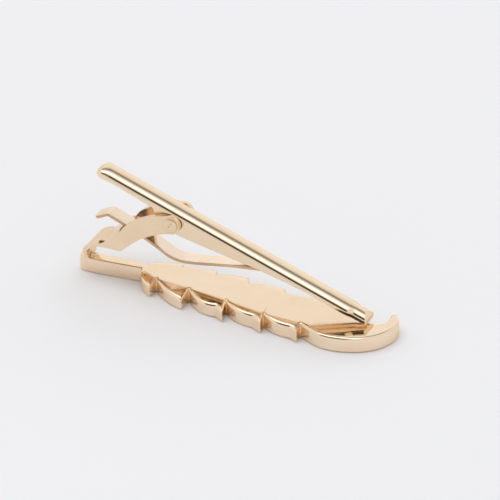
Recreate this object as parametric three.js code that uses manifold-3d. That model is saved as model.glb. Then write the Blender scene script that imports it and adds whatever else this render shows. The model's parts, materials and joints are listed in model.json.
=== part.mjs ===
// Spring clip with a feather front: a stamped hinge bracket brazed to a cast plate,
// a pressed channel arm on a rivet, and a leaf spring that holds the jaw shut.
//
// Millimetres. +X runs from the quill to the feather's tip, +Z from the feather's front
// face to the thumb end of the arm. The hinge turns about Y. Before the last shift, X = 0
// is the quill's end.

import * as THREE from "three";
import { mergeVertices } from "three/addons/utils/BufferGeometryUtils.js";
import Module from "manifold-3d";

const wasm = await Module();
wasm.setup();

// ---- driving dimensions -------------------------------------------------------------

const OVERALL_LENGTH = 58.0;
const PLATE_THICKNESS = 2.8;
const SEAT_GAP = 0.02;

const PIVOT = { x: 18.12, z: 14.0 };
const RIVET_RADIUS = 0.75;
const RIVET_HEAD_RADIUS = 1.28;
const RIVET_HEAD_HEIGHT = 0.42;
const EAR_HOLE_RADIUS = 0.78;
const WING_HOLE_RADIUS = 0.81;

const BRACKET_SHEET = 0.8;
const EAR_OUTER_Y = 2.95;
const EAR_INNER_Y = EAR_OUTER_Y - BRACKET_SHEET;
const EYE_RADIUS = 1.66;
const FOOT_HALF_WIDTH = 1.5;
const NECK_HALF_WIDTH = 2.4;
const FLARE_START_Z = 3.6;
const FLARE_END_Z = 6.6;
const RAMP_EDGE = { x: 8.43, z: 10.59 };
const RAMP_FOOT = { x: 5.0, z: 7.5 };
const NECK_FOOT = { outer: 1.25, inner: 2.15 };
const RELIEF = { start: 4.75, end: 5.65, halfGap: 1.85 };

const ARM_TILT = THREE.MathUtils.degToRad(18.3);
const ARM_HALF_WIDTH = 2.0;
const ARM_SHEET = 0.5;
const ARM_TOP = 2.36;
const ARM_SHOULDER_RADIUS = 0.95;
const THUMB_END = -15.8;
const TIP_END = 37.1;
const THUMB_CORNER_RADIUS = 1.6;
const THUMB_DROP = 1.1;
const THUMB_DROP_LENGTH = 2.4;
const THUMB_RIM = 0.95;
const JOGGLE_START = 33.4;
const JOGGLE_LENGTH = 0.8;
const JOGGLE_HALF_WIDTH = 1.7;
const LIP_BOTTOM = 0.53;
const LIP_TEETH = 3;
const LIP_TOOTH_DEPTH = 0.3;

const SPRING_THICKNESS = 0.5;
const SPRING_HALF_WIDTH = 1.45;

const BRAZE = { reach: 1.5, climb: 0.7, near: -0.85, far: 0.75 };

const CURVE_STEPS = 10;
const ROUND_STEPS = 40;

// ---- colours ------------------------------------------------------------------------

const FINISHES = {
  plate: { color: 0xe8cfa4, roughness: 0.2, metalness: 1.0 },
  bracket: { color: 0xdcbd90, roughness: 0.26, metalness: 1.0 },
  arm: { color: 0xe2c697, roughness: 0.2, metalness: 1.0 },
  spring: { color: 0xe9cfae, roughness: 0.3, metalness: 1.0 },
  braze: { color: 0xd8a85c, roughness: 0.4, metalness: 1.0 },
};

// ---- outlines of the feather --------------------------------------------------------

const QUILL_RADIUS = 1.18;
const QUILL_STRAIGHT_START = 1.58;
const QUILL_END_Y = -0.15;

// Each lobe swells from the last notch through its bulge to its tip, then cuts back
// to its own notch. A creased lobe has a second, smaller swelling before its tip.
const NEAR_START = [11.5, -0.45];
const NEAR_LOBES = [
  { bulge: [12.0, -3.1], tip: [14.9, -4.3], notch: [15.2, -2.35] },
  { bulge: [18.2, -5.2], tip: [21.5, -5.7], notch: [21.6, -2.9] },
  { bulge: [24.5, -6.1], crease: [27.65, -5.4], tip: [29.45, -6.4], notch: [28.9, -3.7] },
  { bulge: [31.0, -5.8], crease: [34.75, -5.85], tip: [36.8, -6.9], notch: [36.3, -4.8] },
  { bulge: [38.6, -6.4], crease: [41.6, -6.2], tip: [43.5, -6.9], notch: [43.3, -5.05] },
];
const FAR_START = [12.1, 1.52];
const FAR_LOBES = [
  { bulge: [12.6, 4.0], tip: [17.0, 4.4], notch: [17.3, 3.2] },
  { bulge: [19.5, 4.7], tip: [23.1, 4.95], notch: [23.5, 3.4] },
  { bulge: [25.6, 5.3], tip: [28.7, 5.55], notch: [29.7, 3.3] },
  { bulge: [32.0, 5.0], tip: [35.8, 4.85], notch: [36.5, 3.1] },
  { bulge: [39.6, 3.1], tip: [43.0, 4.4], notch: [43.5, 2.9] },
  { bulge: [46.4, 4.6], tip: [50.2, 4.2], notch: [50.6, 2.1] },
];
const TIP_OUTER = [
  [45.6, -6.05], [47.8, -6.75], [50.5, -6.6], [53.8, -5.45],
  [56.1, -3.6], [57.5, -1.3], [58.0, 1.1], [57.6, 3.3], [56.1, 5.1],
];
const TIP_INNER = [[55.5, 4.5], [55.8, 2.8], [55.4, 1.2], [53.9, 0.5], [52.0, 0.9]];

// ---- outlines of the hinge bracket, arm and spring, in (x, z) ------------------------

// The arm's lower edge from thumb to tip, in the arm's own axes with the pivot at zero.
const FLANGE_EDGE = [
  [-13.6, 0.8], [-11.9, 0.88], [-4.1, 0.68], [-3.3, -0.58],
  [-0.9, -1.82], [2.5, -1.68], [16.35, 0.26], [22.1, 0.83], [33.4, 1.56],
];

// The spring's upper face from its curled tail to the end held in the channel.
const SPRING_TAIL = [[3.15, 11.1], [4.3, 12.05], [5.65, 12.35], [8.9, 11.2]];
const SPRING_BOW = [[13.05, 9.4], [15.5, 8.17], [17.4, 7.2], [19.2, 6.9], [21.1, 7.06]];
const SPRING_BLADE = [[24.8, 7.7], [29.4, 8.5], [33.6, 9.05], [36.2, 9.4]];
const SPRING_HELD_END = [40.6, 7.95];

// ---- helpers ------------------------------------------------------------------------

/** A manifold solid from a closed three.js geometry. */
function solidOf(geometry) {
  const bare = geometry.clone();
  bare.deleteAttribute("normal");
  bare.deleteAttribute("uv");
  const merged = mergeVertices(bare, 1e-5);
  return new wasm.Manifold(
    new wasm.Mesh({
      numProp: 3,
      vertProperties: new Float32Array(merged.attributes.position.array),
      triVerts: new Uint32Array(merged.index.array),
    })
  );
}

/** The three.js geometry of a manifold solid. */
function geometryOf(solid) {
  const mesh = solid.getMesh();
  const geometry = new THREE.BufferGeometry();
  geometry.setAttribute("position", new THREE.BufferAttribute(mesh.vertProperties, 3));
  geometry.setIndex(new THREE.BufferAttribute(mesh.triVerts, 1));
  geometry.computeVertexNormals();
  return geometry;
}

/** Extrudes an outline in (x, z) across the clip, from y = low to y = high. */
function acrossClip(shape, low, high) {
  const geometry = new THREE.ExtrudeGeometry(shape, {
    depth: high - low,
    bevelEnabled: false,
    curveSegments: CURVE_STEPS,
  });
  geometry.rotateX(Math.PI / 2);
  geometry.translate(0, high, 0);
  return geometry;
}

/** Extrudes an outline in (y, z) along the clip, from x = low to x = high. */
function alongClip(shape, low, high) {
  const geometry = new THREE.ExtrudeGeometry(shape, {
    depth: high - low,
    bevelEnabled: false,
    curveSegments: CURVE_STEPS,
  });
  const xAxis = new THREE.Vector3(1, 0, 0);
  const yAxis = new THREE.Vector3(0, 1, 0);
  const zAxis = new THREE.Vector3(0, 0, 1);
  geometry.applyMatrix4(new THREE.Matrix4().makeBasis(yAxis, zAxis, xAxis));
  geometry.translate(low, 0, 0);
  return geometry;
}

/** A cylinder on an axis along Y through (x, z). */
function crossPin(x, z, radius, halfLength) {
  const geometry = new THREE.CylinderGeometry(radius, radius, 2 * halfLength, ROUND_STEPS);
  geometry.translate(x, 0, z);
  return geometry;
}

function vectors(points) {
  return points.map(([x, y]) => new THREE.Vector2(x, y));
}

function polygon(points) {
  return new THREE.Shape(vectors(points));
}

/** Adds a lobe to an outline that stands at the lobe's first notch. */
function addLobe(shape, lobe) {
  if (lobe.crease) {
    shape.quadraticCurveTo(...lobe.bulge, ...lobe.crease);
    shape.lineTo(...lobe.tip);
  } else {
    shape.quadraticCurveTo(...lobe.bulge, ...lobe.tip);
  }
  shape.lineTo(...lobe.notch);
}

/** Adds a lobe the other way, from its last notch back to the point it started from. */
function addLobeBackwards(shape, lobe, start) {
  shape.lineTo(...lobe.tip);
  shape.quadraticCurveTo(...lobe.bulge, ...start);
}

// ---- pieces -------------------------------------------------------------------------

function featherOutline() {
  const shape = new THREE.Shape();
  shape.moveTo(QUILL_STRAIGHT_START, QUILL_END_Y - QUILL_RADIUS);
  shape.lineTo(...NEAR_START);
  for (const lobe of NEAR_LOBES) {
    addLobe(shape, lobe);
  }
  shape.splineThru(vectors(TIP_OUTER));
  shape.splineThru(vectors(TIP_INNER));
  shape.lineTo(...FAR_LOBES[FAR_LOBES.length - 1].notch);
  for (let i = FAR_LOBES.length - 1; i >= 0; i -= 1) {
    const start = i > 0 ? FAR_LOBES[i - 1].notch : FAR_START;
    addLobeBackwards(shape, FAR_LOBES[i], start);
  }
  shape.lineTo(QUILL_STRAIGHT_START, QUILL_END_Y + QUILL_RADIUS);
  shape.absarc(QUILL_RADIUS, QUILL_END_Y, QUILL_RADIUS, Math.PI / 2, 1.5 * Math.PI, false);
  return shape;
}

function featherPlate() {
  return new THREE.ExtrudeGeometry(featherOutline(), {
    depth: PLATE_THICKNESS,
    bevelEnabled: false,
    curveSegments: CURVE_STEPS,
  });
}

/** Side view of the strip: up from the plate, curled back, then up to its free edge. */
function neckOutline() {
  const foot = PLATE_THICKNESS + SEAT_GAP;
  const rise = new THREE.Vector2(RAMP_EDGE.x - RAMP_FOOT.x, RAMP_EDGE.z - RAMP_FOOT.z);
  rise.normalize().multiplyScalar(BRACKET_SHEET);
  const shape = new THREE.Shape();
  shape.moveTo(NECK_FOOT.outer, foot);
  shape.lineTo(NECK_FOOT.inner, foot);
  shape.quadraticCurveTo(2.1, 5.3, 3.5, 6.1);
  shape.quadraticCurveTo(4.4, 6.6, RAMP_FOOT.x + rise.y, RAMP_FOOT.z - rise.x);
  shape.lineTo(RAMP_EDGE.x + rise.y, RAMP_EDGE.z - rise.x);
  shape.lineTo(RAMP_EDGE.x, RAMP_EDGE.z);
  shape.lineTo(RAMP_FOOT.x, RAMP_FOOT.z);
  shape.quadraticCurveTo(4.3, 7.15, 3.3, 6.88);
  shape.quadraticCurveTo(1.0, 6.1, NECK_FOOT.outer, foot);
  return shape;
}

/** End view of the strip: narrow at its foot, flared where it meets the ramp. */
function neckFlare() {
  const top = RAMP_EDGE.z + 1;
  const shape = new THREE.Shape();
  shape.moveTo(-FOOT_HALF_WIDTH, 0);
  shape.lineTo(FOOT_HALF_WIDTH, 0);
  shape.lineTo(FOOT_HALF_WIDTH, FLARE_START_Z);
  shape.quadraticCurveTo(FOOT_HALF_WIDTH + 0.2, 5.4, NECK_HALF_WIDTH, FLARE_END_Z);
  shape.lineTo(NECK_HALF_WIDTH, top);
  shape.lineTo(-NECK_HALF_WIDTH, top);
  shape.lineTo(-NECK_HALF_WIDTH, FLARE_END_Z);
  shape.quadraticCurveTo(-FOOT_HALF_WIDTH - 0.2, 5.4, -FOOT_HALF_WIDTH, FLARE_START_Z);
  return shape;
}

/** A box given by its two corners. */
function block(low, high) {
  const size = high.map((value, i) => value - low[i]);
  const geometry = new THREE.BoxGeometry(...size);
  geometry.translate(...low.map((value, i) => value + size[i] / 2));
  return geometry;
}

function earOutline() {
  const shape = new THREE.Shape();
  shape.moveTo(RELIEF.end, 6.6);
  shape.lineTo(8.84, 6.58);
  shape.quadraticCurveTo(13.89, 11.63, PIVOT.x, PIVOT.z - EYE_RADIUS);
  shape.absarc(PIVOT.x, PIVOT.z, EYE_RADIUS, -Math.PI / 2, 0.62 * Math.PI, false);
  shape.quadraticCurveTo(12.72, 14.99, RAMP_EDGE.x, RAMP_EDGE.z);
  shape.lineTo(RELIEF.end, RAMP_FOOT.z + 0.5);
  return shape;
}

function hingeBracket() {
  const wide = solidOf(acrossClip(neckOutline(), -EAR_OUTER_Y, EAR_OUTER_Y));
  const neck = wide.intersect(solidOf(alongClip(neckFlare(), 0, RELIEF.end)));
  const rampBox = block([RELIEF.end, -EAR_OUTER_Y, 0], [RAMP_EDGE.x + 2, EAR_OUTER_Y, 12]);
  const nearEar = acrossClip(earOutline(), -EAR_OUTER_Y, -EAR_INNER_Y);
  const farEar = acrossClip(earOutline(), EAR_INNER_Y, EAR_OUTER_Y);
  const solid = neck
    .add(wide.intersect(solidOf(rampBox)))
    .add(solidOf(nearEar))
    .add(solidOf(farEar));
  const nearRelief = block([RELIEF.start, -4, 0], [RELIEF.end, -RELIEF.halfGap, 12]);
  const farRelief = block([RELIEF.start, RELIEF.halfGap, 0], [RELIEF.end, 4, 12]);
  const holes = crossPin(PIVOT.x, PIVOT.z, EAR_HOLE_RADIUS, EAR_OUTER_Y + 1);
  return geometryOf(
    solid.subtract(solidOf(nearRelief)).subtract(solidOf(farRelief)).subtract(solidOf(holes))
  );
}

/** Rivet with a domed head at both ends, turned about Y. */
function hingeRivet() {
  const seat = EAR_OUTER_Y + SEAT_GAP;
  const domeRadius =
    (RIVET_HEAD_RADIUS ** 2 + RIVET_HEAD_HEIGHT ** 2) / (2 * RIVET_HEAD_HEIGHT);
  const domeAngle = Math.asin(RIVET_HEAD_RADIUS / domeRadius);
  const domeSteps = 5;
  const upper = [];
  for (let i = 0; i <= domeSteps; i += 1) {
    const angle = domeAngle * (1 - i / domeSteps);
    const radius = i === domeSteps ? 0 : domeRadius * Math.sin(angle);
    const height = seat + RIVET_HEAD_HEIGHT - domeRadius * (1 - Math.cos(angle));
    upper.push([radius, height]);
  }
  const half = [[RIVET_RADIUS, seat], ...upper];
  const lower = half.map(([radius, height]) => [radius, -height]).reverse();
  const geometry = new THREE.LatheGeometry(vectors([...lower, ...half]), ROUND_STEPS);
  geometry.translate(PIVOT.x, 0, PIVOT.z);
  return geometry;
}

/** Section of the arm's outside: straight flanks under a crown with round shoulders. */
function armSection(halfWidth, top, shoulder) {
  const bottom = -3;
  const shape = new THREE.Shape();
  shape.moveTo(-halfWidth, bottom);
  shape.lineTo(halfWidth, bottom);
  shape.lineTo(halfWidth, top - shoulder);
  shape.absarc(halfWidth - shoulder, top - shoulder, shoulder, 0, Math.PI / 2, false);
  shape.lineTo(-halfWidth + shoulder, top);
  shape.absarc(-halfWidth + shoulder, top - shoulder, shoulder, Math.PI / 2, Math.PI, false);
  return shape;
}

/** Side view of the arm, with its top and thumb end moved in by an inset. */
function armProfile(inset, lowerEdge) {
  const top = ARM_TOP - inset;
  const thumb = THUMB_END + inset;
  const dropEnd = thumb + THUMB_DROP_LENGTH;
  const shape = new THREE.Shape();
  shape.moveTo(thumb, Math.min(lowerEdge[0][1], THUMB_RIM));
  for (const point of lowerEdge) {
    shape.lineTo(...point);
  }
  shape.lineTo(TIP_END, lowerEdge[lowerEdge.length - 1][1]);
  shape.lineTo(TIP_END, top);
  shape.lineTo(dropEnd, top);
  shape.quadraticCurveTo(thumb + 0.6, top - 0.1, thumb, top - THUMB_DROP);
  return shape;
}

/** Plan of the arm: round corners at the thumb end, joggled in before the tip. */
function armPlan(inset) {
  const half = ARM_HALF_WIDTH - inset;
  const narrow = JOGGLE_HALF_WIDTH - inset;
  const corner = THUMB_CORNER_RADIUS - inset;
  const thumb = THUMB_END + inset + corner;
  const shape = new THREE.Shape();
  shape.moveTo(TIP_END, -narrow);
  shape.lineTo(TIP_END, narrow);
  shape.lineTo(JOGGLE_START + JOGGLE_LENGTH, narrow);
  shape.lineTo(JOGGLE_START, half);
  shape.lineTo(thumb, half);
  shape.absarc(thumb, half - corner, corner, Math.PI / 2, Math.PI, false);
  shape.absarc(thumb, corner - half, corner, Math.PI, 1.5 * Math.PI, false);
  shape.lineTo(JOGGLE_START, -half);
  shape.lineTo(JOGGLE_START + JOGGLE_LENGTH, -narrow);
  return shape;
}

/** The solid bounded by the arm's outer faces, moved in by an inset. */
function armBody(inset, lowerEdge) {
  const reach = 60;
  const side = acrossClip(armProfile(inset, lowerEdge), -ARM_HALF_WIDTH, ARM_HALF_WIDTH);
  const section = armSection(
    ARM_HALF_WIDTH - inset,
    ARM_TOP - inset,
    ARM_SHOULDER_RADIUS - inset
  );
  const plan = new THREE.ExtrudeGeometry(armPlan(inset), {
    depth: 12,
    bevelEnabled: false,
    curveSegments: CURVE_STEPS,
  });
  plan.translate(0, 0, -6);
  return solidOf(side)
    .intersect(solidOf(alongClip(section, -reach, reach)))
    .intersect(solidOf(plan));
}

/** The lip at the tip, bent down to bite on the plate with a row of small teeth. */
function lipPlate() {
  const half = JOGGLE_HALF_WIDTH;
  const pitch = (2 * half) / LIP_TEETH;
  const points = [[half, ARM_TOP - 0.6], [-half, ARM_TOP - 0.6]];
  for (let i = 0; i < LIP_TEETH; i += 1) {
    const left = -half + i * pitch;
    points.push([left, LIP_BOTTOM + LIP_TOOTH_DEPTH]);
    points.push([left + pitch / 2, LIP_BOTTOM]);
  }
  points.push([half, LIP_BOTTOM + LIP_TOOTH_DEPTH]);
  return alongClip(polygon(points), TIP_END - ARM_SHEET, TIP_END);
}

/** The whole pressed arm in its own axes, with the pivot at the origin. */
function clipArm() {
  const deep = -5;
  const openEdge = [[THUMB_END + ARM_SHEET + 0.1, deep], [TIP_END, deep]];
  const kept = block([-60, -5, -6], [TIP_END - ARM_SHEET, 5, 6]);
  const hollow = armBody(ARM_SHEET, openEdge).intersect(solidOf(kept));
  const hole = crossPin(0, 0, WING_HOLE_RADIUS, ARM_HALF_WIDTH + 1);
  const pressed = armBody(0, FLANGE_EDGE).subtract(hollow).add(solidOf(lipPlate()));
  return geometryOf(pressed.subtract(solidOf(hole)));
}

/** Offsets a line of points to its right by the spring's thickness. */
function undersideOf(points) {
  return points.map((point, i) => {
    const before = points[Math.max(i - 1, 0)];
    const after = points[Math.min(i + 1, points.length - 1)];
    const way = new THREE.Vector2(after.x - before.x, after.y - before.y).normalize();
    return new THREE.Vector2(
      point.x + way.y * SPRING_THICKNESS,
      point.y - way.x * SPRING_THICKNESS
    );
  });
}

function leafSpring() {
  const knots = vectors([...SPRING_TAIL, ...SPRING_BOW, ...SPRING_BLADE]);
  const upper = new THREE.SplineCurve(knots).getSpacedPoints(ROUND_STEPS);
  upper.push(new THREE.Vector2(...SPRING_HELD_END));
  const outline = new THREE.Shape([...undersideOf(upper), ...upper.slice().reverse()]);
  return acrossClip(outline, -SPRING_HALF_WIDTH, SPRING_HALF_WIDTH);
}

/** Bead of braze in the corner between the bracket's neck and the quill. */
function brazeFillet() {
  const foot = PLATE_THICKNESS + SEAT_GAP;
  const wall = NECK_FOOT.inner + SEAT_GAP;
  const shape = new THREE.Shape();
  shape.moveTo(wall, foot);
  shape.lineTo(wall + BRAZE.reach, foot);
  shape.quadraticCurveTo(wall + BRAZE.climb, foot + BRAZE.climb / 2, wall, foot + BRAZE.climb);
  return acrossClip(shape, BRAZE.near, BRAZE.far);
}

// ---- assembly -----------------------------------------------------------------------

function piece(name, geometry, finish) {
  const mesh = new THREE.Mesh(geometry, new THREE.MeshStandardMaterial(FINISHES[finish]));
  mesh.name = name;
  return mesh;
}

function springClip() {
  const clip = new THREE.Group();
  clip.add(piece("feather_plate", featherPlate(), "plate"));
  clip.add(piece("hinge_bracket", hingeBracket(), "bracket"));
  clip.add(piece("hinge_rivet", hingeRivet(), "bracket"));
  clip.add(piece("leaf_spring", leafSpring(), "spring"));
  clip.add(piece("braze_fillet", brazeFillet(), "braze"));

  const arm = piece("clip_arm", clipArm(), "arm");
  arm.position.set(PIVOT.x, 0, PIVOT.z);
  arm.rotation.y = ARM_TILT;
  clip.add(arm);

  clip.position.x = -OVERALL_LENGTH / 2;
  return clip;
}

export default springClip();
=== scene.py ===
"""Looks of the feather spring clip: every piece is worked out with numpy and dressed in plated gold.

Sizes are in millimetres and become metres when a mesh is made. +X runs from the quill to the
feather's tip, +Z from the feather's front face to the thumb end of the arm.
"""

import enum
import json
import logging
import math
from dataclasses import dataclass, field

import bmesh
import bpy
import numpy as np
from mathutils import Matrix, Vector


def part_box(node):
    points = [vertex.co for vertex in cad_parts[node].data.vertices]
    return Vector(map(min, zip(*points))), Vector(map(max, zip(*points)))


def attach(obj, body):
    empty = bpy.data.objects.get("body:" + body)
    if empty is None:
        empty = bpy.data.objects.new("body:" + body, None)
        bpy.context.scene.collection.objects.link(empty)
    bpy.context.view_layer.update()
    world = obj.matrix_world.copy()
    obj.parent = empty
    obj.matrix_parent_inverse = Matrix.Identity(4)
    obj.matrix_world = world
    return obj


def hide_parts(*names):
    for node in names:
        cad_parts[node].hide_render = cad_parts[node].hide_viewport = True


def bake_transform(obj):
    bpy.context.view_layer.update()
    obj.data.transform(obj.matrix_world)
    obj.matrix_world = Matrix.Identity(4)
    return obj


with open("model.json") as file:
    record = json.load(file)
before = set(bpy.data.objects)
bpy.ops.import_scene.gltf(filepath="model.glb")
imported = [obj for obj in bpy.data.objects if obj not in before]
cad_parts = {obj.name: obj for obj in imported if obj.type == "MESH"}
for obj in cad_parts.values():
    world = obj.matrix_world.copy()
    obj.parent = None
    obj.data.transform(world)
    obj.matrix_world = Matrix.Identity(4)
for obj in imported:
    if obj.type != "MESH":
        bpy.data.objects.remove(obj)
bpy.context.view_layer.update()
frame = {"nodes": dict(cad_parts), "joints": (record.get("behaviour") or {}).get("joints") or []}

logging.basicConfig(level=logging.INFO, format="%(message)s")
log = logging.getLogger("feather_clip")

MM = 0.001
BASE = "plate_and_bracket"
ARM = "arm"
HINGE = frame["joints"][0]
PIVOT_X, _, PIVOT_Z = (value / MM for value in HINGE["pos_m"])
QUILL_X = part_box("feather_plate")[0].x / MM
WELD = 2e-4 * MM
SOFT_ANGLE = math.radians(48)
SOFT_STEPS = 3
SENSOR = 36.0


# ---- curves and grids ----------------------------------------------------------------


def smooth_path(knots: np.ndarray, count: int) -> np.ndarray:
    """Carries a cubic Hermite curve through knots, its slope at each taken from its neighbours.

    Args:
        knots: Points the curve passes through, one per row.
        count: Number of points returned, evenly spaced by chord length.

    Returns:
        The points on the curve, one per row.
    """
    knots = np.asarray(knots, float)
    chord = np.r_[0, np.cumsum(np.linalg.norm(np.diff(knots, axis=0), axis=1))]
    slope = np.gradient(knots, chord, axis=0)
    at = np.linspace(0, chord[-1], count)
    left = np.clip(np.searchsorted(chord, at, side="right") - 1, 0, len(chord) - 2)
    gap = (chord[left + 1] - chord[left])[:, None]
    x = (at - chord[left])[:, None] / gap
    return (
        knots[left] * (1 + 2 * x) * (1 - x) ** 2
        + slope[left] * gap * x * (1 - x) ** 2
        + knots[left + 1] * x**2 * (3 - 2 * x)
        + slope[left + 1] * gap * x**2 * (x - 1)
    )


def length_along(path: np.ndarray) -> np.ndarray:
    """Running length of a polyline at each of its points."""
    return np.r_[0, np.cumsum(np.linalg.norm(np.diff(path, axis=0), axis=1))]


def resample(path: np.ndarray, at: np.ndarray) -> np.ndarray:
    """Points of a polyline at given running lengths."""
    run = length_along(path)
    return np.stack([np.interp(at, run, path[:, k]) for k in range(path.shape[1])], axis=1)


def side_of(path: np.ndarray) -> np.ndarray:
    """Turns a plane polyline's direction a quarter turn to the left.

    Args:
        path: The polyline's points, one per row.

    Returns:
        A unit normal at each point.
    """
    way = np.gradient(path, axis=0)
    way /= np.linalg.norm(way, axis=1, keepdims=True)
    return np.stack([-way[:, 1], way[:, 0]], axis=1)


def ease(value: np.ndarray, low: float, high: float) -> np.ndarray:
    """Smooth step from 0 at low to 1 at high."""
    t = np.clip((value - low) / (high - low), 0, 1)
    return t * t * (3 - 2 * t)


def round_end(run: np.ndarray, half: float, radius: float) -> np.ndarray:
    """Half-width of a strip whose corners at both ends are quarter circles.

    Args:
        run: Running length along the strip.
        half: Half-width away from the ends.
        radius: Radius of the corners.

    Returns:
        The half-width at each running length.
    """
    inset = np.clip(radius - np.minimum(run - run[0], run[-1] - run), 0, radius)
    return half - radius + np.sqrt(np.maximum(radius**2 - inset**2, 0))


def grid_quads(rows: int, cols: int, ring: bool = False) -> np.ndarray:
    """Quads of a grid of points stored row by row.

    Args:
        rows: Number of rows of points.
        cols: Number of points in a row.
        ring: Whether each row closes on itself.

    Returns:
        Four point numbers per quad.
    """
    i = np.arange(rows - 1)[:, None]
    j = np.arange(cols if ring else cols - 1)[None, :]
    k = (j + 1) % cols
    quads = np.stack([i * cols + j, i * cols + k, (i + 1) * cols + k, (i + 1) * cols + j], axis=-1)
    return quads.reshape(-1, 4)


def make_piece(name: str, points: np.ndarray, quads: np.ndarray) -> bpy.types.Object:
    """Makes an object from points in millimetres, with its doubles merged and faces outwards.

    Args:
        name: Name of the object.
        points: Points, one per row, in millimetres.
        quads: Point numbers, four per row.

    Returns:
        The new object, standing at the origin.
    """
    mesh = bpy.data.meshes.new(name)
    mesh.from_pydata((points.reshape(-1, 3) * MM).tolist(), [], quads.tolist())
    work = bmesh.new()
    work.from_mesh(mesh)
    bmesh.ops.remove_doubles(work, verts=work.verts, dist=WELD)
    bmesh.ops.dissolve_degenerate(work, edges=work.edges, dist=1e-9)
    bmesh.ops.recalc_face_normals(work, faces=work.faces)
    work.to_mesh(mesh)
    work.free()
    mesh.polygons.foreach_set("use_smooth", np.ones(len(mesh.polygons), bool))
    piece = bpy.data.objects.new(name, mesh)
    bpy.context.scene.collection.objects.link(piece)
    return piece


def shell(outer: np.ndarray, inner: np.ndarray, keep: np.ndarray) -> tuple[np.ndarray, np.ndarray]:
    """Joins an outer and an inner skin with walls along every edge that only one quad uses.

    Args:
        outer: Grid of the outer skin's points.
        inner: Grid of the inner skin's points, in the same order.
        keep: For each quad of the grid, whether the sheet is there.

    Returns:
        The points that are used, and all quads.
    """
    rows, cols = outer.shape[:2]
    quads = grid_quads(rows, cols)[keep.reshape(-1)]
    ends = np.concatenate([quads[:, [k, (k + 1) % 4]] for k in range(4)])
    code = ends[:, 0] * rows * cols + ends[:, 1]
    back = ends[:, 1] * rows * cols + ends[:, 0]
    rim = ends[~np.isin(code, back)]
    size = rows * cols
    walls = np.stack([rim[:, 1], rim[:, 0], rim[:, 0] + size, rim[:, 1] + size], axis=1)
    skins = np.vstack([quads, quads[:, ::-1] + size])
    points = np.vstack([outer.reshape(-1, 3), inner.reshape(-1, 3)])
    used, place = np.unique(np.vstack([skins, walls]), return_inverse=True)
    return points[used], place.reshape(-1, 4)


def soften(piece: bpy.types.Object, edge: float) -> None:
    """Rounds a sheet's cut edges with a bevel.

    Args:
        piece: The piece whose sharp edges are rounded.
        edge: Radius of the rounding in millimetres.
    """
    soft = piece.modifiers.new("soft_edges", "BEVEL")
    soft.width = edge * MM
    soft.segments = SOFT_STEPS
    soft.limit_method = "ANGLE"
    soft.angle_limit = SOFT_ANGLE
    soft.miter_outer = "MITER_ARC"
    soft.use_clamp_overlap = True


def apply_all(piece: bpy.types.Object) -> None:
    """Replaces a piece's mesh by what its modifiers make of it.

    Args:
        piece: The piece, left with no modifiers.
    """
    graph = bpy.context.evaluated_depsgraph_get()
    shaped = bpy.data.meshes.new_from_object(piece.evaluated_get(graph))
    piece.modifiers.clear()
    piece.data = shaped


# ---- finishes ------------------------------------------------------------------------


class Grain(enum.Enum):
    """Direction of the polishing marks: how much the pattern is stretched along X, Y and Z."""

    ALONG = (0.08, 1.0, 1.0)
    ACROSS = (1.0, 0.08, 1.0)
    EVEN = (1.0, 1.0, 1.0)


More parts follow.
